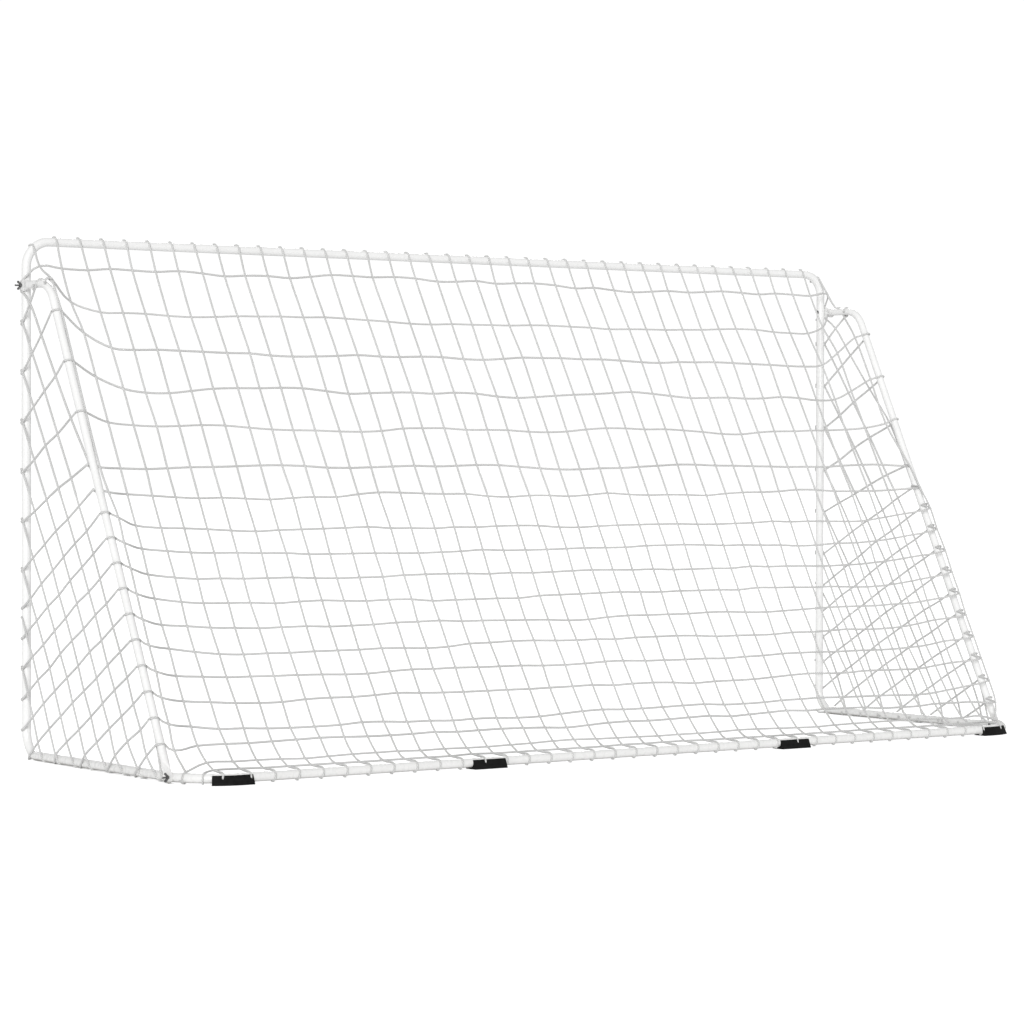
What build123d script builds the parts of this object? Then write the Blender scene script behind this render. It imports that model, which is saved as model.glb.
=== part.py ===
from build123d import *
import os
from math import cos, hypot, radians, sin

# Soccer goal of the 12 ft class: a loop of steel tube that forms the crossbar, the uprights
# and the ground frame, two bolted side stays, four snap-on rubber feet and a net.
# Millimetres. The goal mouth faces -Y and the ground is z = 0. x = 0 is the middle of the
# crossbar, and y = 0 lies halfway between the goal's foremost and rearmost points.
# Left and right are those of someone in front of the goal who looks into it.

os.makedirs("parts", exist_ok=True)

# Overall size
WIDTH = 3660.0  # across the uprights
HEIGHT = 1820.0
DEPTH = 1224.0  # from the flat ends of the stays to the back of the feet

# Main tube, and the bends on its centre line
TUBE_R = 16.0
TUBE_WALL = 1.2
UPPER_BEND = 90.0
LOWER_BEND = 80.0
REAR_BEND = 170.0

# Push-fit joints of the main tube: one end is swaged down and slides into the next tube
PLUG_LENGTH = 50.0
PLUG_GAP = 0.2
SHOULDER = 3.0

# Places of the joints of the main tube
CENTER_HALF = 560.0  # half the middle length of the crossbar
CROSSBAR_END = 1600.0  # from the middle to the upper corners
UPPER_LEG_Z = 1560.0  # lower end of the upper corners
LOWER_LEG_Z = 560.0  # upper end of the front bends
SIDE_START = 350.0  # from the uprights to the front end of the side tubes
SIDE_END = 900.0  # from the uprights to the back end of the side tubes
REAR_CENTER_HALF = 520.0  # half the middle length of the rear bar
REAR_END = 1540.0  # from the middle to the rear corners

# Feet
FOOT_LENGTH = 134.0
FOOT_HALF_BASE = 29.0
FOOT_UNDER = 6.0  # rubber below the tube
FOOT_EDGE = 2.0  # height of the upright edge of the base
FOOT_RISE = 32.0
FOOT_HALF_TOP = 16.0
FOOT_LIP = 1.2
FOOT_ROUND = 1.0  # bevel of the end faces
INNER_FOOT_AT = 676.0  # from the middle, along the rear bar
OUTER_FOOT_AT = 1673.0

# Side stays
STAY_R = 14.0
STAY_WALL = 1.2
STAY_BEND = 102.0
STAY_TOP_Z = 1649.5
STAY_REACH = 208.0  # level run at the top, from the upright to the bend's corner
STAY_SPLIT = 0.5  # share of the slope above the push-fit joint
PLATE_THICK = 2.6  # the tube pressed flat
PLATE_WIDTH = 41.0
PLATE_FLAT = 22.0  # from the bolt to where the tube starts to open out
PLATE_BLEND = 55.0  # from the bolt to where the tube is round again
PLATE_STEP = 0.1  # the opened end is this much smaller in radius than the round tube
PLATE_SLIT = 0.43  # what is left of the tube's bore between the pressed walls
ROUNDED = 0.96  # share of the half thickness that rounds the pressed edges
NEARLY_ROUND = 0.999  # corner radius of the opened end, as a share of its half width
LOWER_BOLT_TURN = 8.5  # degrees of the rear bend in front of the lower bolt

# M6 x 60 carriage bolts and wing nuts
BOLT_R = 3.0
BOLT_LENGTH = 60.0
BOLT_HOLE_R = 3.3
BOLT_TIP = 0.8
NECK = 6.2  # across the flats of the square under the head
NECK_LENGTH = 3.0
NECK_HOLE = 6.5
HEAD_R = 8.25
HEAD_RIM = 0.8
HEAD_HEIGHT = 4.0
HEAD_GAP = 0.25  # under the head, where the tube's wall curves up at its rim
NUT_GAP = 0.3  # between wing nut and stay
NUT_BORE_R = 3.05
NUT_BASE_R = 6.0
NUT_TOP_R = 4.9
NUT_HEIGHT = 8.0
WING_THICK = 2.4
WING_LOBE_R = 4.0
WING_LOBE_AT = 12.0  # from the bolt's axis to the middle of a wing's round end
WING_LOBE_UP = 12.5
WING_ROOT_R = 3.6

# Net, as thin panels
NET_THICK = 0.36  # along Y and along Z, which makes about half a millimetre square to the panel
NET_SIDE_THICK = 0.5
NET_START_Y = 19.0  # behind the uprights' axes
NET_START_Z = 1796.0
NET_OFF_STAY = 16.0  # behind and above the corner of a stay's axis
NET_FOOT_Y = 1148.0  # behind the uprights' axes
NET_FOOT_Z = 48.0
NET_SIDE_X = 1846.0
NET_SIDE_CLEAR = 1.0  # between the back panel's edges and the side panels
NET_SIDE_FRONT = 22.0  # behind the uprights' axes
NET_SIDE_TOP_Z = 1664.0

# Derived places
POST_X = WIDTH / 2 - TUBE_R
MOUTH_Y = PLATE_WIDTH / 2 - DEPTH / 2
REAR_Y = DEPTH / 2 - FOOT_HALF_BASE
CROSSBAR_Z = HEIGHT - TUBE_R
REAR_Z = FOOT_UNDER + TUBE_R
REAR_BEND_X = POST_X - REAR_BEND
REAR_BEND_Y = REAR_Y - REAR_BEND
BORE_R = TUBE_R - TUBE_WALL
PLUG_R = BORE_R - PLUG_GAP
STAY_BORE_R = STAY_R - STAY_WALL
STAY_PLUG_R = STAY_BORE_R - PLUG_GAP
SIDES = {"left": -1, "right": 1}


def side_z(y):
    """Height of the ground frame's centre line: on the ground in front, lifted by the feet behind."""
    start = MOUTH_Y + LOWER_BEND
    return TUBE_R + (REAR_Z - TUBE_R) * (y - start) / (REAR_Y - start)


def straight(start, end, outer, inner):
    """Straight tube from start to end."""
    start, end = Vector(start), Vector(end)
    across = Plane(origin=start, z_dir=end - start)
    return extrude(across * (Circle(outer) - Circle(inner)), amount=(end - start).length)


def bent(corners, bend, outer, inner):
    """Tube along the runs between corners, with every corner bent to one radius."""
    path = FilletPolyline(*corners, radius=bend)
    ring = Plane(origin=path @ 0, z_dir=path % 0) * (Circle(outer) - Circle(inner))
    return sweep(ring, path=path)


def plug(end, direction, radius, wall, bore):
    """Swaged end that slides into the next tube: a shoulder inside this tube, then the plug."""
    end, direction = Vector(end), Vector(direction).normalized()
    hollow = radius - wall
    shoulder = straight(end - direction * SHOULDER, end, bore + wall / 2, hollow)
    return shoulder + straight(end, end + direction * PLUG_LENGTH, radius, hollow)


def main_plug(end, direction):
    return plug(end, direction, PLUG_R, TUBE_WALL, BORE_R)


def bolt_frame(side, place):
    """Plane of one bolt: its origin on the tube's axis, z outward along the bolt, x upward."""
    if place == "upper":
        origin = Vector(side * POST_X, MOUTH_Y, STAY_TOP_Z)
        out = Vector(side, 0, 0)
    else:
        turn = radians(LOWER_BOLT_TURN)
        y = REAR_BEND_Y + REAR_BEND * sin(turn)
        origin = Vector(side * (REAR_BEND_X + REAR_BEND * cos(turn)), y, side_z(y))
        out = Vector(side * cos(turn), sin(turn), 0)
    return Plane(origin=origin, x_dir=(0, 0, 1), z_dir=out)


def bolt_holes(side, place):
    """A square hole for the bolt's neck in the tube's inner wall, and a round one in its outer wall."""
    here = bolt_frame(side, place)
    neck = Box(NECK_HOLE, NECK_HOLE, 2 * TUBE_R, align=(Align.CENTER, Align.CENTER, Align.MAX))
    shank = Cylinder(BOLT_HOLE_R, 2 * TUBE_R, align=(Align.CENTER, Align.CENTER, Align.MIN))
    return here * (neck + shank)


def middle_length(half, y, z):
    """Middle tube of the crossbar or the rear bar, with a plug at each end."""
    tube = straight((-half, y, z), (half, y, z), TUBE_R, BORE_R)
    for side in SIDES.values():
        tube += main_plug((side * half, y, z), (side, 0, 0))
    return tube


def crossbar_center():
    return middle_length(CENTER_HALF, MOUTH_Y, CROSSBAR_Z)


def crossbar_side(side):
    start = (side * CENTER_HALF, MOUTH_Y, CROSSBAR_Z)
    return straight(start, (side * CROSSBAR_END, MOUTH_Y, CROSSBAR_Z), TUBE_R, BORE_R)


def upper_corner(side):
    """Bend between crossbar and upright, with the upper bolt's holes in its leg."""
    inner_end = (side * CROSSBAR_END, MOUTH_Y, CROSSBAR_Z)
    corners = [inner_end, (side * POST_X, MOUTH_Y, CROSSBAR_Z), (side * POST_X, MOUTH_Y, UPPER_LEG_Z)]
    tube = bent(corners, UPPER_BEND, TUBE_R, BORE_R) + main_plug(inner_end, (-side, 0, 0))
    return tube - bolt_holes(side, "upper")


def upright(side):
    top = (side * POST_X, MOUTH_Y, UPPER_LEG_Z)
    tube = straight((side * POST_X, MOUTH_Y, LOWER_LEG_Z), top, TUBE_R, BORE_R)
    return tube + main_plug(top, (0, 0, 1))


def front_lower_bend(side):
    """Bend from the upright to the ground frame. It rests on the ground itself."""
    x = side * POST_X
    top = (x, MOUTH_Y, LOWER_LEG_Z)
    end_y = MOUTH_Y + SIDE_START
    corners = [top, (x, MOUTH_Y, side_z(MOUTH_Y)), (x, end_y, side_z(end_y))]
    return bent(corners, LOWER_BEND, TUBE_R, BORE_R) + main_plug(top, (0, 0, 1))


def side_tube(side):
    x = side * POST_X
    start_y, end_y = MOUTH_Y + SIDE_START, MOUTH_Y + SIDE_END
    start, end = Vector(x, start_y, side_z(start_y)), Vector(x, end_y, side_z(end_y))
    return straight(start, end, TUBE_R, BORE_R) + main_plug(start, start - end)


def rear_corner(side):
    """Wide bend between side tube and rear bar, with the lower bolt's holes."""
    x = side * POST_X
    start_y = MOUTH_Y + SIDE_END
    start, corner = Vector(x, start_y, side_z(start_y)), Vector(x, REAR_Y, REAR_Z)
    tube = bent([start, corner, (side * REAR_END, REAR_Y, REAR_Z)], REAR_BEND, TUBE_R, BORE_R)
    tube += main_plug(start, start - corner)
    return tube - bolt_holes(side, "lower")


def rear_bar_side(side):
    outer_end = (side * REAR_END, REAR_Y, REAR_Z)
    tube = straight((side * REAR_CENTER_HALF, REAR_Y, REAR_Z), outer_end, TUBE_R, BORE_R)
    return tube + main_plug(outer_end, (side, 0, 0))


def rear_bar_center():
    return middle_length(REAR_CENTER_HALF, REAR_Y, REAR_Z)


def stay_corners(side):
    """Centre line of a stay: the upper bolt, the corner of its bend, the lower bolt."""
    out = TUBE_R + PLATE_THICK / 2
    top, bottom = (bolt_frame(side, place) for place in ("upper", "lower"))
    first, last = top.origin + top.z_dir * out, bottom.origin + bottom.z_dir * out
    corner_y = MOUTH_Y + STAY_REACH
    share = STAY_REACH / (STAY_REACH + hypot(last.Y - corner_y, last.Z - STAY_TOP_Z))
    corner = Vector(first.X + (last.X - first.X) * share, corner_y, STAY_TOP_Z)
    return first, corner, last


def flat_end(center, out, toward):
    """Stay end: the tube pressed flat round the bolt, opening out again along toward."""
    toward = toward.normalized()
    along = (toward - out * toward.dot(out)).normalized()
    face = Plane(origin=center, x_dir=along, z_dir=out)
    outline = Pos(PLATE_FLAT / 2, 0) * Rectangle(PLATE_FLAT, PLATE_WIDTH) + Circle(PLATE_WIDTH / 2)
    plate = extrude(face * outline, amount=PLATE_THICK / 2, both=True)
    flat = Plane(origin=center + along * PLATE_FLAT, x_dir=out, z_dir=along)
    level = (out - toward * out.dot(toward)).normalized()
    round_again = Plane(origin=center + toward * PLATE_BLEND, x_dir=level, z_dir=toward)

    def blend(thick, width, radius):
        first = flat * RectangleRounded(thick, width, thick / 2 * ROUNDED)
        last = round_again * RectangleRounded(2 * radius, 2 * radius, radius * NEARLY_ROUND)
        return loft([first, last])

    opening = blend(PLATE_THICK, PLATE_WIDTH, STAY_R - PLATE_STEP)
    opening -= blend(PLATE_SLIT, PLATE_WIDTH - 2 * PLATE_THICK, STAY_BORE_R - PLATE_STEP)
    hole = extrude(face * Circle(BOLT_HOLE_R), amount=PLATE_THICK, both=True)
    return plate + opening - hole


def stay_split(side):
    """Where the stay's upper and lower tubes join."""
    corner, last = stay_corners(side)[1:]
    return corner + (last - corner) * STAY_SPLIT


def stay_upper(side):
    """Upper half of a stay: flat end on the upright, level run, bend, and half the slope."""
    first, corner = stay_corners(side)[:2]
    level = (corner - first).normalized()
    out = bolt_frame(side, "upper").z_dir
    corners = [first + level * PLATE_BLEND, corner, stay_split(side)]
    tube = bent(corners, STAY_BEND, STAY_R, STAY_BORE_R)
    return tube + flat_end(first, out, level)


def stay_lower(side):
    """Lower half of a stay: plug into the upper half, slope, and flat end on the ground frame."""
    last = stay_corners(side)[2]
    joint = stay_split(side)
    down = (last - joint).normalized()
    out = bolt_frame(side, "lower").z_dir
    tube = straight(joint, last - down * PLATE_BLEND, STAY_R, STAY_BORE_R)
    tube += plug(joint, -down, STAY_PLUG_R, STAY_WALL, STAY_BORE_R)
    return tube + flat_end(last, out, -down)


def carriage_bolt(side, place):
    """Domed head inside the goal, square neck in the tube's wall, tip outside the wing nut."""
    dome_r = (HEAD_R**2 + (HEAD_HEIGHT - HEAD_RIM) ** 2) / (2 * (HEAD_HEIGHT - HEAD_RIM))
    rim = Cylinder(HEAD_R, HEAD_HEIGHT, align=(Align.CENTER, Align.CENTER, Align.MAX))
    head = rim & Pos(0, 0, dome_r - HEAD_HEIGHT) * Sphere(dome_r)
    neck = Box(NECK, NECK, NECK_LENGTH, align=(Align.CENTER, Align.CENTER, Align.MIN))
    shank = Cylinder(BOLT_R, BOLT_LENGTH, align=(Align.CENTER, Align.CENTER, Align.MIN))
    shank = chamfer(shank.edges().filter_by(GeomType.CIRCLE).sort_by(Axis.Z)[-1], BOLT_TIP)
    return bolt_frame(side, place).offset(-TUBE_R - HEAD_GAP) * (head + neck + shank)


def wing_nut(side, place):
    """Hub with two rounded wings, one above the bolt and one below it."""
    hub = Cone(NUT_BASE_R, NUT_TOP_R, NUT_HEIGHT, align=(Align.CENTER, Align.CENTER, Align.MIN))
    for way in (-1, 1):
        root = Pos(way * WING_ROOT_R, WING_ROOT_R) * Circle(WING_ROOT_R)
        lobe = Pos(way * WING_LOBE_AT, WING_LOBE_UP) * Circle(WING_LOBE_R)
        wing = make_hull(root.edges() + lobe.edges())
        hub += extrude(Plane.XZ * wing, amount=WING_THICK / 2, both=True)
    hub -= Cylinder(NUT_BORE_R, 4 * NUT_HEIGHT)
    lift = TUBE_R + PLATE_THICK + NUT_GAP
    return bolt_frame(side, place).offset(lift) * hub


def foot(path):
    """Rubber foot: a flared base under the tube and two walls that grip the tube from below."""
    under, top = -FOOT_UNDER - TUBE_R, FOOT_RISE - FOOT_UNDER - TUBE_R
    half = [(FOOT_HALF_BASE, under), (FOOT_HALF_BASE, under + FOOT_EDGE), (FOOT_HALF_TOP, top)]
    other_half = [(-across, up) for across, up in reversed(half)]
    outline = make_face(Polyline(*half, *other_half, close=True))
    outline = fillet(outline.vertices().sort_by(Axis.Y)[-2:], FOOT_LIP)
    here = Plane(origin=path @ 0, x_dir=Vector(0, 0, 1).cross(path % 0), z_dir=path % 0)
    body = sweep(here * outline, path=path)
    ends = [body.faces().sort_by_distance(path @ share)[0] for share in (0, 1)]
    body = chamfer([edge for end in ends for edge in end.edges()], FOOT_ROUND)
    return body - sweep(here * Circle(TUBE_R), path=path)


def inner_foot(side):
    middle = Vector(side * INNER_FOOT_AT, REAR_Y, REAR_Z)
    half = Vector(FOOT_LENGTH / 2, 0, 0)
    return foot(Line(middle - half, middle + half))


def outer_foot(side):
    """The foot at a rear corner follows the start of the tube's bend."""
    inner_end = Vector(side * (OUTER_FOOT_AT - FOOT_LENGTH / 2), REAR_Y, REAR_Z)
    bend_start = Vector(side * REAR_BEND_X, REAR_Y, REAR_Z)
    turned = (OUTER_FOOT_AT + FOOT_LENGTH / 2 - REAR_BEND_X) / REAR_BEND

    def on_bend(angle):
        x = REAR_BEND_X + REAR_BEND * sin(angle)
        return Vector(side * x, REAR_BEND_Y + REAR_BEND * cos(angle), REAR_Z)

    run = Line(inner_end, bend_start)
    arc = ThreePointArc(bend_start, on_bend(turned / 2), on_bend(turned))
    return foot(Wire([run, arc]))


def back_line():
    """Side view of the back panel: under the crossbar, over the stays' bends, above the rear bar."""
    corner = stay_corners(1)[1]
    start = (MOUTH_Y + NET_START_Y, NET_START_Z)
    kink = (corner.Y + NET_OFF_STAY, corner.Z + NET_OFF_STAY)
    return [start, kink, (MOUTH_Y + NET_FOOT_Y, NET_FOOT_Z)]


def net_back():
    """Back panel of the net, which is also the goal's roof."""
    line = back_line()
    under = [(y - NET_THICK, z - NET_THICK) for y, z in reversed(line)]
    outline = make_face(Plane.YZ * Polyline(*line, *under, close=True))
    return extrude(outline, amount=NET_SIDE_X - NET_SIDE_CLEAR, both=True)


def net_side(side):
    """Side panel of the net, outside the stay."""
    kink, low = back_line()[1:]
    front = MOUTH_Y + NET_SIDE_FRONT
    outline = Polyline((front, NET_FOOT_Z), (front, NET_SIDE_TOP_Z), kink, low, close=True)
    panel = extrude(make_face(Plane.YZ * outline), amount=NET_SIDE_THICK / 2, both=True)
    return Pos(side * (NET_SIDE_X + NET_SIDE_THICK / 2), 0, 0) * panel


def model():
    """Every node of the goal, by name."""
    nodes = {
        "crossbar_center": crossbar_center(),
        "rear_bar_center": rear_bar_center(),
        "net_back": net_back(),
    }
    per_side = {
        "crossbar": crossbar_side,
        "upper_corner": upper_corner,
        "upright": upright,
        "front_lower_bend": front_lower_bend,
        "side_tube": side_tube,
        "rear_corner": rear_corner,
        "rear_bar": rear_bar_side,
        "stay_upper": stay_upper,
        "stay_lower": stay_lower,
        "inner_foot": inner_foot,
        "outer_foot": outer_foot,
        "net_side": net_side,
    }
    for word, side in SIDES.items():
        for name, make in per_side.items():
            nodes[f"{name}_{word}"] = make(side)
        for place in ("upper", "lower"):
            nodes[f"{place}_bolt_{word}"] = carriage_bolt(side, place)
            nodes[f"{place}_wing_nut_{word}"] = wing_nut(side, place)
    return nodes


for name, solid in model().items():
    export_step(solid, f"parts/{name}.step")
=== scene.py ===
"""Looks of the soccer goal frame: finishes, knotted net, light and camera."""

import math
import random

import bpy
import numpy as np
from mathutils import Matrix, Vector


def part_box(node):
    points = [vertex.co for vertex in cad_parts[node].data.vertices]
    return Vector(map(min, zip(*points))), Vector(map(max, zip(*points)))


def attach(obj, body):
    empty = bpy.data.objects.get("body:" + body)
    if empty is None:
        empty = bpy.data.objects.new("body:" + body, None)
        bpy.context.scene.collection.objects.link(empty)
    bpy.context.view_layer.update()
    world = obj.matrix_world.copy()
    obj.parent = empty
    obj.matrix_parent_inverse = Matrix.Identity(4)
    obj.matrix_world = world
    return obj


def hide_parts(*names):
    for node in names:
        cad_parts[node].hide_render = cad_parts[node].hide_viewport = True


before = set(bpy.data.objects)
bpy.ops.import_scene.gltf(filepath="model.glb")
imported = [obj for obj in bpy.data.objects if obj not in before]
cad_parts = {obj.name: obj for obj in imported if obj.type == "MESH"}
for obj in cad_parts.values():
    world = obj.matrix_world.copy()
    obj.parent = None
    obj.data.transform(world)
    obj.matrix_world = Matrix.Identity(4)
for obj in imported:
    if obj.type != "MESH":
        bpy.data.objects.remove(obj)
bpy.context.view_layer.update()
RNG = random.Random(12)


def middle(node):
    low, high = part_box(node)
    return (low + high) / 2


def half_size(node):
    low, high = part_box(node)
    return (high - low) / 2


# Frame, in metres. In the names, "behind" is a distance behind the uprights' axes.

SIDES = {"left": -1, "right": 1}
POST_X = middle("upright_right").x
MOUTH_Y = middle("upright_right").y
TUBE_R = half_size("upright_right").x
BAR_Z = middle("crossbar_center").z
REAR = middle("rear_bar_center")
REAR_BEHIND = REAR.y - MOUTH_Y
UPPER_BEND = 0.090
LOWER_BEND = 0.080
REAR_BEND = 0.170
STAY_R = 0.014
STAY_X = POST_X + 0.0173
STAY_REACH = 0.208  # level run at the top, from the upright to the bend's corner
STAY_TOP_Z = middle("upper_bolt_right").z
STAY_FOOT = middle("lower_bolt_right")
STAY_SLOPE = (STAY_FOOT.y - MOUTH_Y - STAY_REACH) / (STAY_TOP_Z - STAY_FOOT.z)

# Cords and knots

CORD_R = 0.0039
CORD_SIDES = 6
CORD_BED = 0.4  # a cord's axis lies this share of its radius off the tube it turns round
TURN = 2.9  # angle by which a cord goes round a tube before its end knot
POST_TURN = 1.9  # the same, round an upright
RUN_TURN = 3.4  # the same, round the level run of a stay
TURN_STEPS = 12
KNOT_RING = 0.0024
KNOT_SWING = 0.0014
KNOT_STEPS = 12
KNOT_CORD = 0.62  # pulled tight, as a share of the cord's radius
BAR_KNOT = 0.9
TOP_KNOT = 1.2
END_KNOT = 1.1
LOOP_R = 0.009

# Back panel: columns run from the crossbar to the rear bar, and rows from stay to stay.
# Row 1 ends at the uprights, and the last two rows end at the rear corners.

COLUMNS = 40
COLUMN_PITCH = 0.09215
EDGES = (0, COLUMNS - 1)
ROW_STEPS = [0.100, 0.187] + [0.155] * 4 + [0.118, 0.130] + [0.0935] * 7 + [0.104, 0.052, 0.072, 0.045]
ROWS = len(ROW_STEPS)
ROW_AT = np.cumsum(ROW_STEPS)
FIRST_STAY_ROW = 2
LAST_STAY_ROW = 17
LAST_ROUNDED_ROW = 4  # down to it, the rows rise to the stays in a round curve
LAST_HIGH_ROW = 5  # down to it, the edge columns lie close to the stays
INSIDE_ROWS = (6, 7)  # pass the stays in front, the others behind
LAST_LOOSE_ROW = 7  # down to it, the rows are fully uneven
THIRD_ROW_Z = 1.547
HIGH_ROW_STEP = 0.173
SIXTH_ROW_Z = 1.028
LOW_ROW_STEP = 0.0828
PROFILE = [  # panel's middle line: distance behind the uprights, height
    (0.016, 1.800),
    (0.030, 1.785),
    (0.054, 1.740),
    (0.096, 1.650),
    (0.199, 1.500),
    (0.373, 1.200),
    (0.599, 0.800),
    (0.763, 0.500),
    (0.890, 0.300),
    (0.992, 0.150),
    (1.062, 0.070),
    (1.110, 0.042),
    (1.140, 0.044),
]
WAVES_OF_A_ROW = ((0.009, 1.9), (0.009, 0.8), (0.0045, 0.37))  # amplitude, wavelength
LOOSE = 0.002  # unevenness of a knot's place on the panel
COLUMN_SHIFT = 0.005
KNOT_SHIFT = 0.003
EDGE_SHIFT = 0.004
PULL = 0.14  # reach of the stays' pull on a row's height
DRAW = 0.08  # reach of the stays' pull on a row's depth
OUTER_TOP_X = 1.785  # place of the edge columns on the crossbar's bends
EDGE_X = 1.820
EDGE_BEHIND = {1: 0.070, -1: 0.054}  # how far the edge columns hang behind the stays, by side
ROW_2_BEHIND = {1: 0.205, -1: 0.045}
ROW_2_ANGLES = {1: (120, 95, 65, 30, 0), -1: (215, 250, 285, 325, 360)}
INSIDE_ANGLES = (200, 240, 280, 320, 350)
OUTSIDE_ANGLES = (150, 112, 75, 37, 0)
COLUMN_OVER_RUN = 0.085  # where the left edge column meets the level run of its stay
FIRST_ROW_END_Z = STAY_TOP_Z + 0.022
REAR_ROW_X = 1.835
REAR_ROW_STEP = 0.040

# Side panels: rows carry on from the back panel, forward and down to the uprights and the side tubes.
# Columns run from the uprights, backward and down to the side tubes.

FIRST_COLUMN, LAST_COLUMN = 2, 9  # column 1 meets the stay and follows it down
LAST_STEEP_ROW = 7
ROW_SLOPE = 0.56
COLUMN_SLOPE = 1.58
ROW_BOW = 0.0064
COLUMN_BOW = 0.030
BELLY = 0.003
LONG_SIDE_ROW = 0.95
FIRST_SIDE_ROW_BEHIND = 0.140
BASE_Z = 0.022
TOP_COLUMN_Z = 1.668
TOP_HITCH_Z = 1.632
PAIR_TOP_Z = 1.521  # where row 2 and column 2 meet on the upright
PAIR_STEP = 0.172
BASE_BEHIND = 0.955  # where column 2 ends on the side tube
BASE_STEP = 0.115
PAIR_GAP = 0.008  # half the gap between a row's and a column's turn on an upright
ROW_DRIFT = -0.050
COLUMN_DRIFT = 0.012


def unit(v):
    return v / np.linalg.norm(v)


def polyline_length(points):
    steps = np.diff(np.array(points, float), axis=0)
    return np.concatenate([[0.0], np.cumsum(np.linalg.norm(steps, axis=1))])


def smooth(points, step=0.03, most=4):
    """Smooth line through the points, divided where they lie far apart."""
    pts = np.array(points, float)
    along = np.empty_like(pts)
    along[1:-1] = pts[2:] - pts[:-2]
    along[0] = pts[1] - pts[0]
    along[-1] = pts[-1] - pts[-2]
    along /= np.linalg.norm(along, axis=1)[:, None]
    line = [pts[0]]
    for a, b, ta, tb in zip(pts[:-1], pts[1:], along[:-1], along[1:]):
        length = np.linalg.norm(b - a)
        parts = int(min(most, max(1, round(length / step))))
        for k in range(1, parts + 1):
            t = k / parts
            h0 = 2 * t**3 - 3 * t**2 + 1
            h1 = t**3 - 2 * t**2 + t
            h2 = 3 * t**2 - 2 * t**3
            h3 = t**3 - t**2
            line.append(h0 * a + h1 * ta * length + h2 * b + h3 * tb * length)
    return np.array(line)


class CordMesh:
    """Collects cords and knots as tubes, with a UV map that runs along and round each cord."""

    def __init__(self):
        self.verts, self.faces, self.uvs = [], [], []

    def tube(self, line, radius, sides=CORD_SIDES, closed=False):
        line = np.array(line, float)
        n = len(line)
        if closed:
            tangent = np.roll(line, -1, 0) - np.roll(line, 1, 0)
        else:
            tangent = np.gradient(line, axis=0)
        tangent /= np.linalg.norm(tangent, axis=1)[:, None]
        start = len(self.verts)
        helper = np.array([0.0, 0.0, 1.0] if abs(tangent[0][2]) < 0.9 else [1.0, 0.0, 0.0])
        normal = unit(np.cross(tangent[0], helper))
        reach = polyline_length(line)
        for k in range(n):
            normal = unit(normal - tangent[k] * np.dot(normal, tangent[k]))
            other = np.cross(tangent[k], normal)
            for s in range(sides):
                a = 2 * math.pi * s / sides
                self.verts.append(line[k] + radius * (math.cos(a) * normal + math.sin(a) * other))
        rings = n if closed else n - 1
        for k in range(rings):
            here, there = start + k * sides, start + ((k + 1) % n) * sides
            u0 = reach[k]
            u1 = reach[k + 1] if k + 1 < n else reach[k] + np.linalg.norm(line[0] - line[k])
            for s in range(sides):
                t = (s + 1) % sides
                self.faces.append((here + s, here + t, there + t, there + s))
                v0, v1 = s / sides, (s + 1) / sides
                self.uvs += [(u0, v0), (u0, v1), (u1, v1), (u1, v0)]
        if not closed:
            for ring, turn in ((start, -1), (start + (n - 1) * sides, 1)):
                cap = [ring + s for s in range(sides)][::turn]
                self.faces.append(tuple(cap))
                self.uvs += [(0.0, 0.0)] * sides

    def cord(self, points):
        self.tube(smooth(points), CORD_R)

    def knot(self, at, along, across, size=1.0):
        """A small pulled-tight knot: one cord that passes through its own turns."""
        a = unit(np.array(along, float))
        b = unit(np.array(across, float) - a * np.dot(a, across))
        c = np.cross(a, b)
        ring = KNOT_RING * size
        swing = KNOT_SWING * size
        line = []
        for k in range(KNOT_STEPS):
            t = 2 * math.pi * k / KNOT_STEPS
            r = ring + swing * math.cos(3 * t)
            flat = r * (math.cos(2 * t) * a + math.sin(2 * t) * b)
            line.append(np.array(at) + flat + swing * math.sin(3 * t) * c)
        self.tube(line, CORD_R * KNOT_CORD * size, sides=5, closed=True)

    def loop(self, at, side):
        """A slack turn of cord that hangs under a tube, half turned towards the goal's middle."""
        across = np.array([0.8 * side, 0.6, 0.0])
        up = np.array([0.0, 0.0, 1.0])
        line = []
        for a in np.linspace(0, 2 * math.pi, 17)[:-1]:
            line.append(at + LOOP_R * (math.cos(a) * across + math.sin(a) * up))
        self.tube(line, CORD_R * 0.8, closed=True)

    def make(self, name):
        mesh = bpy.data.meshes.new(name)
        mesh.from_pydata([tuple(v) for v in self.verts], [], self.faces)
        uv = mesh.uv_layers.new(name="cord")
        uv.data.foreach_set("uv", np.array(self.uvs, np.float32).ravel())
        mesh.polygons.foreach_set("use_smooth", [True] * len(mesh.polygons))
        piece = bpy.data.objects.new(name, mesh)
        bpy.context.scene.collection.objects.link(piece)
        return piece


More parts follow.
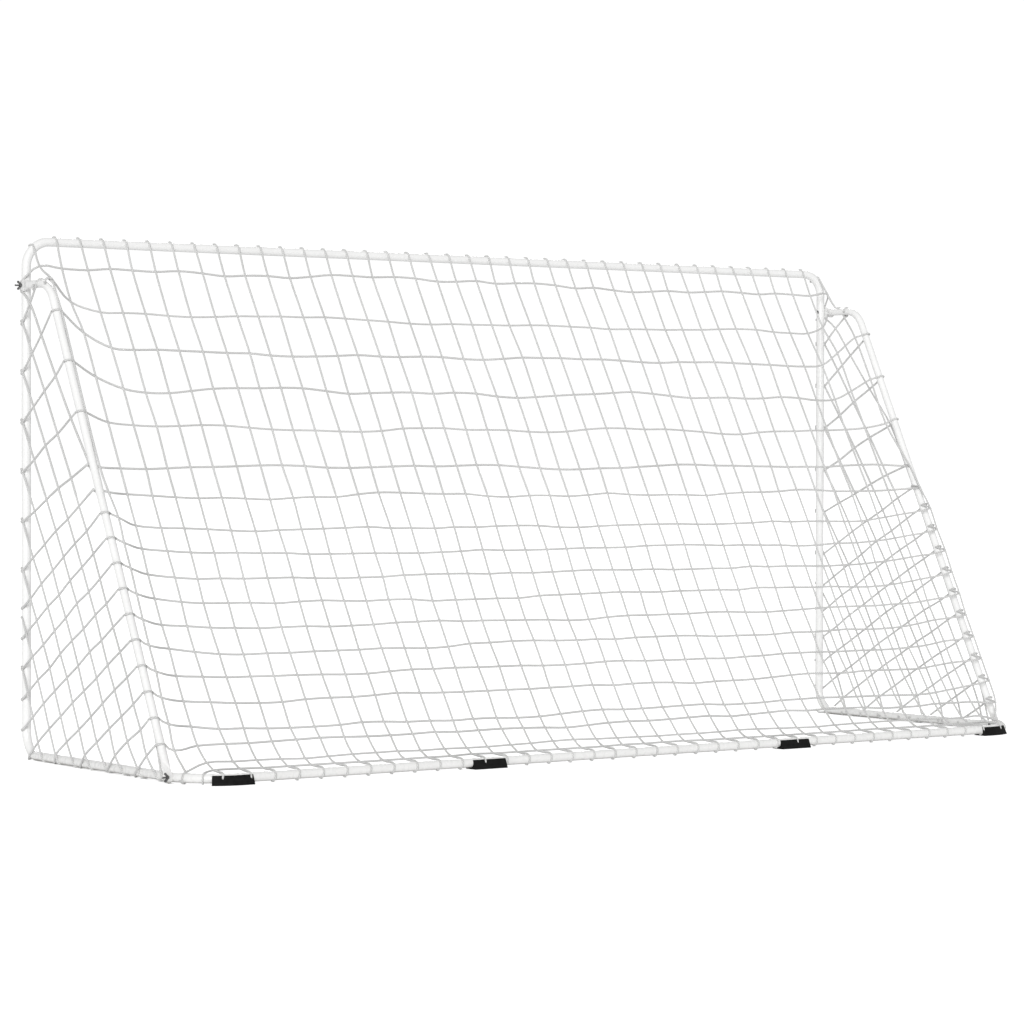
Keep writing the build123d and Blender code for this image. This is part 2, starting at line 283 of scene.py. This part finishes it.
def turn_round(center, axis, target, over, radius=TUBE_R, turn=TURN, drift=0.0045):
    """Points of a cord that comes from target, meets a tube on its over side and goes round it.

    The first point is where the cord first touches the tube. Drift is how far it moves along the
    tube meanwhile. No point lies lower than a cord on the ground.
    """
    center, axis, target = (np.array(v, float) for v in (center, axis, target))
    axis = unit(axis)
    reach = radius + CORD_BED * CORD_R
    toward = target - center
    toward = toward - axis * np.dot(toward, axis)
    far = max(np.linalg.norm(toward), reach * 1.02)
    e1 = unit(toward)
    e2 = np.cross(axis, e1)
    angle = math.acos(reach / far)
    options = []
    for sense in (1, -1):
        out = math.cos(angle) * e1 + sense * math.sin(angle) * e2
        options.append((np.dot(out, np.array(over, float)), sense))
    sense = max(options)[1]
    points = []
    for k in range(TURN_STEPS + 1):
        a = sense * (angle + turn * k / TURN_STEPS)
        off = reach * (math.cos(a) * e1 + math.sin(a) * e2)
        points.append(center + off + axis * drift * k / TURN_STEPS)
    for p in points:
        p[2] = max(p[2], CORD_R)
    return points


# Lines of the frame


def bend_at(x, radius):
    """Angle and drop of a bar's end bend at one x. Both are zero on the bar's straight part."""
    past = abs(x) - (POST_X - radius)
    if past <= 0:
        return 0.0, 0.0
    angle = math.asin(min(0.999, past / radius))
    return angle, radius * (1 - math.cos(angle))


def bar_point(x):
    """Axis of the crossbar, or of its bends, at one x, and its direction there."""
    angle, drop = bend_at(x, UPPER_BEND)
    return (x, MOUTH_Y, BAR_Z - drop), (math.cos(angle), 0, -math.sin(angle) * np.sign(x))


def rear_point(x):
    """Axis of the rear bar, or of its bends, at one x, and its direction there."""
    angle, drop = bend_at(x, REAR_BEND)
    return (x, REAR.y - drop, REAR.z), (math.cos(angle), -math.sin(angle) * np.sign(x), 0)


def ground_z(behind):
    """Axis height of the side tubes, which the rear feet lift a little."""
    return TUBE_R + (REAR.z - TUBE_R) * max(0.0, behind - LOWER_BEND) / (REAR_BEHIND - LOWER_BEND)


def stay_behind(z):
    return STAY_REACH + (STAY_TOP_Z - z) * STAY_SLOPE


# Rows at the stays


def stay_row_z(row):
    """Height at which a row of the net crosses the stays."""
    if row <= 6:
        return THIRD_ROW_Z - HIGH_ROW_STEP * (row - 3)
    return SIXTH_ROW_Z - LOW_ROW_STEP * (row - 6)


def run_wrap(side):
    """Points of row 2 as it goes over or under the level run of the stay to its outer face."""
    reach = STAY_R + CORD_R
    points = []
    for a in ROW_2_ANGLES[side]:
        a = math.radians(a)
        x = side * (STAY_X + reach * math.cos(a))
        points.append(np.array([x, MOUTH_Y + ROW_2_BEHIND[side], STAY_TOP_Z + reach * math.sin(a)]))
    return points


def stay_wrap(row, side):
    """Points of a row as it goes round the stay, from the back panel to the side panel."""
    if row == FIRST_STAY_ROW:
        return run_wrap(side)
    z = stay_row_z(row)
    center = np.array([side * STAY_X, MOUTH_Y + stay_behind(z), z])
    down = unit(np.array([0.0, STAY_SLOPE, -1.0]))
    rear = unit(np.array([0.0, 1.0, STAY_SLOPE]))
    out = np.array([float(side), 0.0, 0.0])
    reach = STAY_R + CORD_R
    angles = INSIDE_ANGLES if row in INSIDE_ROWS else OUTSIDE_ANGLES
    points = []
    for k, a in enumerate(angles):
        a = math.radians(a)
        points.append(center + reach * (math.cos(a) * out + math.sin(a) * rear) - down * 0.001 * k)
    return points


# Back panel

PROFILE_LENGTH = polyline_length(PROFILE)


def profile(s):
    """Place behind the uprights and height of the panel at one distance down from the crossbar."""
    behind = np.interp(s, PROFILE_LENGTH, [p[0] for p in PROFILE])
    z = np.interp(s, PROFILE_LENGTH, [p[1] for p in PROFILE])
    return float(behind), float(z)


def profile_at_z(z):
    """Distance down from the crossbar at which the panel reaches a height."""
    heights = [p[1] for p in PROFILE[:-1]][::-1]
    return float(np.interp(z, heights, PROFILE_LENGTH[:-1][::-1]))


def row_wave():
    """Slow unevenness of one row, as amplitudes, wavelengths and phases."""
    wave = []
    for amplitude, length in WAVES_OF_A_ROW:
        amplitude = RNG.uniform(0.4, 1.0) * amplitude
        length = length * RNG.uniform(0.8, 1.3)
        wave.append((amplitude, length, RNG.uniform(0, 6.28)))
    return wave


WAVES = [row_wave() for row in range(ROWS + 1)]


def back_point(row, x):
    """Knot of a row at one x. Near the stays the row is drawn to where it crosses them."""
    s = ROW_AT[row - 1]
    calm = 1.0 if row <= LAST_LOOSE_ROW else 0.5
    s += calm * sum(a * math.sin(2 * math.pi * x / w + p) for a, w, p in WAVES[row])
    away = STAY_X - abs(x)
    near = math.exp(-((away / PULL) ** 2)) if row <= LAST_ROUNDED_ROW else math.exp(-away / PULL)
    if row == FIRST_STAY_ROW:
        near = near**2
    if FIRST_STAY_ROW <= row <= LAST_STAY_ROW:
        s -= near * (s - profile_at_z(stay_row_z(row)))
    behind, z = profile(s + RNG.uniform(-LOOSE, LOOSE))
    if FIRST_STAY_ROW < row <= LAST_STAY_ROW:
        behind += math.exp(-away / DRAW) * (stay_behind(z) + 0.008 - behind)
    return np.array([x, MOUTH_Y + behind + RNG.uniform(-LOOSE, LOOSE), z])


def column_x(column):
    return (column - (COLUMNS - 1) / 2) * COLUMN_PITCH


def edge_point(row, side):
    """Knot of an edge column in one row, or None where it has none."""
    if row > LAST_STAY_ROW:
        return None
    if row > LAST_HIGH_ROW:
        z = stay_row_z(row) - 0.008
        share = min(1.0, (row - LAST_HIGH_ROW) / 3)
        hang = EDGE_BEHIND[side] * share + RNG.uniform(-EDGE_SHIFT, EDGE_SHIFT)
        return np.array([side * EDGE_X, MOUTH_Y + stay_behind(z) + hang, z])
    if side > 0 and row >= FIRST_STAY_ROW:
        return stay_wrap(row, side)[0]
    if row == FIRST_STAY_ROW:
        return None
    return back_point(row, side * column_x(COLUMNS - 1))


def back_knots():
    """Knots of the back panel, by row and column."""
    knots = {}
    for column in range(COLUMNS):
        shift = RNG.uniform(-COLUMN_SHIFT, COLUMN_SHIFT)
        for row in range(1, ROWS + 1):
            x = column_x(column)
            if column in EDGES:
                place = edge_point(row, 1 if x > 0 else -1)
            else:
                x += shift + RNG.uniform(-KNOT_SHIFT, KNOT_SHIFT)
                place = back_point(row, x)
            if place is not None:
                knots[row, column] = place
    return knots


def behind_bend(side):
    """Points of an edge column that follows the outside of the stay's bend."""
    places = (
        (STAY_REACH - 0.018, STAY_TOP_Z + (STAY_R + CORD_R) * 0.8),
        (STAY_REACH + 0.012, STAY_TOP_Z),
        (STAY_REACH + 0.035, STAY_TOP_Z - 0.040),
    )
    return [np.array([side * (STAY_X - 0.008), MOUTH_Y + behind, z]) for behind, z in places]


def round_run(side):
    """Points of an edge column that goes round the outside of the stay's level run."""
    reach = STAY_R + CORD_R
    points = []
    for k, a in enumerate((120, 80, 40, 0, -40, -80, -120)):
        a = math.radians(a)
        x = side * (STAY_X + reach * math.cos(a))
        y = MOUTH_Y + COLUMN_OVER_RUN + 0.008 * k
        points.append(np.array([x, y, STAY_TOP_Z + reach * math.sin(a)]))
    return points


def back_column(net, column, line):
    """One column, with the turns and knots at its ends."""
    x = column_x(column)
    if column == EDGES[0]:
        line[1:1] = round_run(-1)
    if column == EDGES[1]:
        line[2:2] = behind_bend(1)
    center, axis = bar_point(np.sign(x) * min(abs(x), OUTER_TOP_X))
    top = turn_round(center, axis, line[0], (0, 1, 0), drift=0.005)
    center, axis = rear_point(x)
    foot = turn_round(center, axis, line[-1], (0, 0, 1), drift=0.005)
    net.cord(top[::-1] + line + foot)
    net.knot(top[5], (0, 1, 0), (1, 0, 0), BAR_KNOT)
    net.knot(top[-1], (0, 0, 1), (1, 0, 0), TOP_KNOT)
    net.knot(foot[-1], (0, 1, 0), (1, 0, 0), END_KNOT)


def back_row(net, row, line):
    """One row, with the turns at its ends."""
    ends = []
    for side, edge in ((-1, line[0]), (1, line[-1])):
        if row == 1:
            center = (side * POST_X, MOUTH_Y, FIRST_ROW_END_Z)
            ends.append(turn_round(center, (0, 0, 1), edge, (side, 0, 0), turn=POST_TURN, drift=-0.03))
        elif row <= LAST_STAY_ROW:
            ends.append(stay_wrap(row, side))
        else:
            center, axis = rear_point(side * (REAR_ROW_X - REAR_ROW_STEP * (row - LAST_STAY_ROW)))
            ends.append(turn_round(center, axis, edge, (0, 0, 1)))
    if FIRST_STAY_ROW <= row <= LAST_HIGH_ROW:
        line = line[:-1]  # the right edge column's knot is the first point of the turn
    net.cord(ends[0][::-1] + line + ends[1])


def back_panel(name):
    net = CordMesh()
    knots = back_knots()
    for column in range(COLUMNS):
        back_column(net, column, [knots[r, column] for r in range(1, ROWS + 1) if (r, column) in knots])
    for row in range(1, ROWS + 1):
        back_row(net, row, [knots[row, c] for c in range(COLUMNS) if (row, c) in knots])
    for (row, column), place in knots.items():
        above = knots.get((row - 1, column), place + np.array([0, -0.05, 0.1]))
        net.knot(place, above - place, (1, 0, 0))
    return net.make(name)


# Side panels, drawn in their own plane as (behind, z)


def upright_z(line):
    """Height at which a row and the column of the same number meet on the upright."""
    return PAIR_TOP_Z - PAIR_STEP * (line - 2)


def base_behind(column):
    """Place along the side tube at which a column ends."""
    return BASE_BEHIND - BASE_STEP * (column - 2)


def side_row(row):
    """Ends of a row: at the stay, and at the upright or the side tube."""
    z = stay_row_z(row)
    start = (stay_behind(z), z)
    if row == FIRST_STAY_ROW:
        start = (FIRST_SIDE_ROW_BEHIND, STAY_TOP_Z)
    if row <= LAST_STEEP_ROW:
        return start, (0.0, upright_z(row) - PAIR_GAP)
    end_z = start[1] - ROW_SLOPE * start[0]
    if end_z < 0.05:
        return start, (start[0] - (start[1] - BASE_Z) / ROW_SLOPE, BASE_Z)
    return start, (0.0, end_z)


def side_column(column):
    """Ends of a column: at the upright, and at the side tube or, for column 1, at the stay."""
    if column < FIRST_COLUMN:
        return (0.0, TOP_COLUMN_Z), (stay_behind(SIXTH_ROW_Z), SIXTH_ROW_Z)
    return (0.0, upright_z(column) + PAIR_GAP), (base_behind(column), BASE_Z)


def crossing(p, q, r, s):
    """Where segments pq and rs of a plane cross and at which shares of them, or None."""
    p, q, r, s = (np.array(v, float) for v in (p, q, r, s))
    a, b = q - p, s - r
    cross = a[0] * b[1] - a[1] * b[0]
    t = ((r[0] - p[0]) * b[1] - (r[1] - p[1]) * b[0]) / cross
    u = ((r[0] - p[0]) * a[1] - (r[1] - p[1]) * a[0]) / cross
    if 0.02 < t < 0.99 and 0.02 < u < 0.985:
        return p + t * a, t, u
    return None


def side_place(side, behind, z):
    """Point of a side panel, which leans from the uprights' outer side to the stays' outer side."""
    share = min(1.0, max(0.0, behind / stay_behind(z)))
    x = POST_X + TUBE_R + CORD_R + share * (STAY_X + STAY_R - POST_X - TUBE_R)
    belly = BELLY * math.sin(math.pi * share) * min(1.0, z / 0.4)
    return np.array([side * (x - belly), MOUTH_Y + behind, z])


def side_knots(side, rows, columns):
    """Knots of a side panel, by row and column, each with its shares along both lines."""
    knots = {}
    for row, (start, end) in rows.items():
        for column, (top, foot) in columns.items():
            found = crossing(start, end, top, foot)
            if found is None:
                continue
            (behind, z), t, u = found
            share = min(1.0, math.dist(start, end) / LONG_SIDE_ROW)
            slack = foot[0] / base_behind(FIRST_COLUMN) if column >= FIRST_COLUMN else 0.0
            row_bow = ROW_BOW * share**2 * math.sin(math.pi * t)
            column_bow = COLUMN_BOW * math.sin(math.pi * u) * slack
            z += COLUMN_SLOPE * row_bow + ROW_SLOPE * column_bow + RNG.uniform(-KNOT_SHIFT, KNOT_SHIFT)
            behind += column_bow - row_bow + RNG.uniform(-KNOT_SHIFT, KNOT_SHIFT)
            knots[row, column] = (side_place(side, behind, z), t, u)
    return knots


def end_turn(side, end, last, drift):
    """Turn of a side panel's cord round the upright, or round the side tube."""
    behind, z = end
    if behind <= 0.001:
        center = (side * POST_X, MOUTH_Y, z)
        return turn_round(center, (0, 0, 1), last, (side, 0, 0), turn=POST_TURN, drift=0.012)
    center = (side * POST_X, MOUTH_Y + behind, ground_z(behind))
    return turn_round(center, (0, 1, 0), last, (side, 0, 0), drift=drift)


def lead_in(last, turn):
    """A point shortly before a turn, which keeps the cord straight up to it."""
    return [last * 0.2 + turn[0] * 0.8]


def side_panel(side, name):
    net = CordMesh()
    rows = {row: side_row(row) for row in range(FIRST_STAY_ROW, LAST_STAY_ROW + 1)}
    columns = {column: side_column(column) for column in range(1, LAST_COLUMN + 1)}
    knots = side_knots(side, rows, columns)

    for row, (start, end) in rows.items():
        crossed = sorted((c for (r, c) in knots if r == row), key=lambda c: knots[row, c][1])
        line = [knots[row, c][0] for c in crossed]
        wrap = stay_wrap(row, side)[-1:]
        if row == FIRST_STAY_ROW:
            center = (side * STAY_X, MOUTH_Y + start[0], STAY_TOP_Z)
            hitch = turn_round(center, (0, 1, 0), line[0], (side, 0, 0), STAY_R, RUN_TURN, 0.008)
            net.loop(hitch[0] + np.array([0, -0.020, -LOOP_R]), side)
            wrap += hitch[::-1]
        finish = end_turn(side, end, line[-1], ROW_DRIFT)
        net.cord(wrap + line + lead_in(line[-1], finish) + finish)
        net.knot(finish[-1], (0, 0, 1), (0, 1, 0), END_KNOT)

    for column, (top, foot) in columns.items():
        crossed = sorted((r for (r, c) in knots if c == column), key=lambda r: knots[r, column][2])
        line = [knots[r, column][0] for r in crossed]
        center = (side * POST_X, MOUTH_Y, min(top[1], TOP_HITCH_Z))
        begin = turn_round(center, (0, 0, 1), line[0], (side, 0, 0), turn=POST_TURN, drift=-0.012)
        if column < FIRST_COLUMN:
            for z in np.linspace(1.0, 0.15, 10):
                behind = stay_behind(z) - STAY_R - CORD_R
                line.append(np.array([side * STAY_X, MOUTH_Y + behind, z]))
            foot = (0.990, BASE_Z)
        finish = end_turn(side, foot, line[-1], COLUMN_DRIFT)
        net.cord(begin[::-1] + line + lead_in(line[-1], finish) + finish)
        net.knot(finish[-1], (0, 1, 0), (0, 0, 1), END_KNOT)
        net.knot(begin[-1], (0, 0, 1), (0, 1, 0), END_KNOT)

    for place, _, _ in knots.values():
        net.knot(place, (0, -0.5, 1), (0, 1, 0.5))
    return net.make(name)


nets = {"net_back": back_panel("net_back_cords")}
for word, side in SIDES.items():
    nets[f"net_side_{word}"] = side_panel(side, f"net_side_{word}_cords")

# Materials


def material(name):
    """A new material, its node helper, its Principled shader and its links."""
    made = bpy.data.materials.new(name)
    made.use_nodes = True
    nodes, links = made.node_tree.nodes, made.node_tree.links
    shader = nodes["Principled BSDF"]

    def add(kind, inputs=None, **settings):
        node = nodes.new(kind)
        for key, value in settings.items():
            setattr(node, key, value)
        for key, value in (inputs or {}).items():
            if isinstance(value, bpy.types.NodeSocket):
                links.new(value, node.inputs[key])
            else:
                node.inputs[key].default_value = value
        return node

    return made, add, shader, links


def noise(add, scale, detail=2.0, roughness=0.5):
    where = add("ShaderNodeTexCoord").outputs["Object"]
    inputs = {"Scale": scale, "Detail": detail, "Roughness": roughness, "Vector": where}
    return add("ShaderNodeTexNoise", inputs).outputs["Fac"]


def ramp(add, value, low, high):
    """Maps a 0 to 1 value to a grey or a colour between low and high."""
    node = add("ShaderNodeValToRGB", {"Fac": value})
    node.color_ramp.elements[0].position = 0.3
    node.color_ramp.elements[1].position = 0.7
    for element, colour in zip(node.color_ramp.elements, (low, high)):
        element.color = (*colour, 1.0) if isinstance(colour, tuple) else (colour, colour, colour, 1.0)
    return node.outputs["Color"]


def spread(add, value, low, high):
    """Maps a 0 to 1 value to one between low and high."""
    return add("ShaderNodeMapRange", {"Value": value, "To Min": low, "To Max": high}).outputs["Result"]


def fade(add, height, low, high, most):
    """A share that falls from most at the height low to nothing at the height high."""
    limits = {"From Min": low, "From Max": high, "To Min": most, "To Max": 0.0}
    return add("ShaderNodeMapRange", {"Value": height, **limits}).outputs["Result"]


def calculate(add, operation, *values):
    return add("ShaderNodeMath", dict(enumerate(values)), operation=operation).outputs["Value"]


def blend(add, share, low, high, kind="MIX"):
    inputs = {"Factor": share, "A": low, "B": high}
    return add("ShaderNodeMix", inputs, data_type="RGBA", blend_type=kind).outputs["Result"]


def bump(add, shader, links, height, strength, distance):
    node = add("ShaderNodeBump", {"Height": height, "Strength": strength, "Distance": distance})
    links.new(node.outputs["Normal"], shader.inputs["Normal"])


def powder_coat():
    """White powder coat with a slight peel, a little dust near the ground and painted shade on the
    undersides where they meet the ground.
    """
    made, add, shader, links = material("white_powder_coat")
    base = ramp(add, noise(add, 7.0, 4.0), (0.82, 0.82, 0.815), (0.86, 0.86, 0.855))
    place = add("ShaderNodeNewGeometry").outputs["Position"]
    height = add("ShaderNodeSeparateXYZ", {"Vector": place}).outputs["Z"]
    patches = spread(add, noise(add, 34.0, 5.0, roughness=0.7), 0.0, 1.0)
    dust = calculate(add, "MULTIPLY", fade(add, height, 0.0, 0.14, 0.16), patches)
    dusty = blend(add, dust, base, (0.50, 0.47, 0.42, 1.0))
    # Painted shade: below about 12 mm height the coat is darkened almost to black, standing in for the
    # contact shadow where the tubes meet the floor.
    coat_with_painted_ground_shade = blend(add, fade(add, height, 0.002, 0.012, 0.9), dusty, (0.22, 0.21, 0.19, 1.0))
    links.new(coat_with_painted_ground_shade, shader.inputs["Base Color"])
    links.new(spread(add, noise(add, 60.0, 3.0), 0.2, 0.36), shader.inputs["Roughness"])
    bump(add, shader, links, noise(add, 420.0), 0.05, 0.0004)
    shader.inputs["Coat Weight"].default_value = 0.3
    shader.inputs["Coat Roughness"].default_value = 0.12
    return made


def rubber():
    made, add, shader, links = material("black_rubber")
    links.new(ramp(add, noise(add, 90.0, 5.0), 0.004, 0.010), shader.inputs["Base Color"])
    links.new(spread(add, noise(add, 220.0, 4.0), 0.5, 0.8), shader.inputs["Roughness"])
    bump(add, shader, links, noise(add, 1500.0, 3.0), 0.3, 0.0005)
    shader.inputs["Specular IOR Level"].default_value = 0.12
    return made


def zinc():
    made, add, shader, links = material("dark_zinc")
    links.new(ramp(add, noise(add, 260.0, 4.0), 0.12, 0.24), shader.inputs["Base Color"])
    links.new(spread(add, noise(add, 900.0, 3.0), 0.28, 0.5), shader.inputs["Roughness"])
    bump(add, shader, links, noise(add, 2500.0, 3.0), 0.25, 0.0003)
    shader.inputs["Metallic"].default_value = 1.0
    return made


def cord():
    """White twisted cord: three strands that wind round the cord's length."""
    made, add, shader, links = material("white_net_cord")
    turns_per_metre, strands = 110.0, 3.0
    uv = add("ShaderNodeUVMap", uv_map="cord").outputs["UV"]
    split = add("ShaderNodeSeparateXYZ", {"Vector": uv})
    turns = calculate(add, "MULTIPLY", split.outputs["X"], turns_per_metre)
    lobes = calculate(add, "MULTIPLY", split.outputs["Y"], strands)
    angle = calculate(add, "MULTIPLY", calculate(add, "ADD", turns, lobes), 2 * math.pi)
    strand = calculate(add, "SINE", angle)
    groove = add("ShaderNodeMapRange", {"Value": strand, "From Min": -1.0}).outputs["Result"]
    fibre = noise(add, 1800.0, 3.0)
    bump(add, shader, links, calculate(add, "ADD", groove, fibre), 0.7, 0.0005)
    tone = ramp(add, noise(add, 5.0, 3.0), (0.64, 0.64, 0.632), (0.72, 0.72, 0.715))
    # Painted shade: the cord's tone is darkened in the grooves between its strands.
    tone_with_painted_groove_shade = blend(add, 1.0, tone, ramp(add, groove, 0.72, 1.0), "MULTIPLY")
    links.new(tone_with_painted_groove_shade, shader.inputs["Base Color"])
    links.new(spread(add, fibre, 0.65, 0.9), shader.inputs["Roughness"])
    shader.inputs["Sheen Weight"].default_value = 0.2
    return made


def floor_paper():
    """Pale paper, a little brighter to the camera than its light alone would make it."""
    made, add, shader, links = material("floor_paper")
    links.new(ramp(add, noise(add, 3.0, 3.0), 0.93, 0.95), shader.inputs["Base Color"])
    shader.inputs["Roughness"].default_value = 0.9
    shader.inputs["Emission Color"].default_value = (1.0, 1.0, 1.0, 1.0)
    ray = add("ShaderNodeLightPath").outputs["Is Camera Ray"]
    links.new(calculate(add, "MULTIPLY", ray, 0.5), shader.inputs["Emission Strength"])
    return made


COAT, RUBBER, ZINC, CORD = powder_coat(), rubber(), zinc(), cord()


def dress(piece, finish):
    piece.data.materials.clear()
    piece.data.materials.append(finish)


def finish_of(node):
    if "foot" in node:
        return RUBBER
    if "bolt" in node or "nut" in node:
        return ZINC
    return CORD if node.startswith("net") else COAT


for node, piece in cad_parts.items():
    dress(piece, finish_of(node))

for node, piece in nets.items():
    dress(piece, CORD)
    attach(piece, "frame")
    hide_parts(node)

# Stage, light and camera


def build_stage():
    mesh = bpy.data.meshes.new("floor")
    reach = 60.0
    corners = [(-reach, -reach, 0), (reach, -reach, 0), (reach, reach, 0), (-reach, reach, 0)]
    mesh.from_pydata(corners, [], [(0, 1, 2, 3)])
    floor = bpy.data.objects.new("floor", mesh)
    bpy.context.scene.collection.objects.link(floor)
    dress(floor, floor_paper())


SUN_WIDTH = math.radians(24)
SKY_STRENGTH = 0.56
SEEN_SKY_STRENGTH = 1.05


def sun(name, place, strength):
    data = bpy.data.lights.new(name, "SUN")
    data.energy = strength
    data.angle = SUN_WIDTH
    light = bpy.data.objects.new(name, data)
    light.location = place
    light.rotation_mode = "QUATERNION"
    light.rotation_quaternion = Vector(place).to_track_quat("Z", "Y")
    bpy.context.scene.collection.objects.link(light)


def build_light():
    """A soft white studio, which the camera sees as plain white, and two wide suns."""
    world = bpy.data.worlds.new("studio")
    bpy.context.scene.world = world
    world.use_nodes = True
    nodes, links = world.node_tree.nodes, world.node_tree.links
    lit, seen = nodes["Background"], nodes.new("ShaderNodeBackground")
    for background, strength in ((lit, SKY_STRENGTH), (seen, SEEN_SKY_STRENGTH)):
        background.inputs["Color"].default_value = (1.0, 1.0, 1.0, 1.0)
        background.inputs["Strength"].default_value = strength
    mix = nodes.new("ShaderNodeMixShader")
    links.new(nodes.new("ShaderNodeLightPath").outputs["Is Camera Ray"], mix.inputs["Fac"])
    links.new(lit.outputs["Background"], mix.inputs[1])
    links.new(seen.outputs["Background"], mix.inputs[2])
    links.new(mix.outputs["Shader"], nodes["World Output"].inputs["Surface"])
    sun("key", (6.4, 7.8, 2.7), 1.85)
    sun("fill", (-6.0, -8.0, 4.0), 0.8)


def build_camera():
    data = bpy.data.cameras.new("camera")
    data.lens = 115.41
    data.sensor_width = 36.0
    camera = bpy.data.objects.new("camera", data)
    place = Vector((7.04596, 9.71408, 1.07502))
    forward = Vector((-0.578203, -0.815686, -0.018391)).normalized()
    level = forward.cross(Vector((0, 0, 1))).normalized()
    above = level.cross(forward)
    roll = 0.001866
    right = level * math.cos(roll) + above * math.sin(roll)
    up = above * math.cos(roll) - level * math.sin(roll)
    turn = Matrix((right, up, -forward)).transposed().to_4x4()
    camera.matrix_world = Matrix.Translation(place) @ turn
    bpy.context.scene.collection.objects.link(camera)
    bpy.context.scene.camera = camera


build_stage()
build_light()
build_camera()
bpy.context.scene.view_settings.view_transform = "Standard"
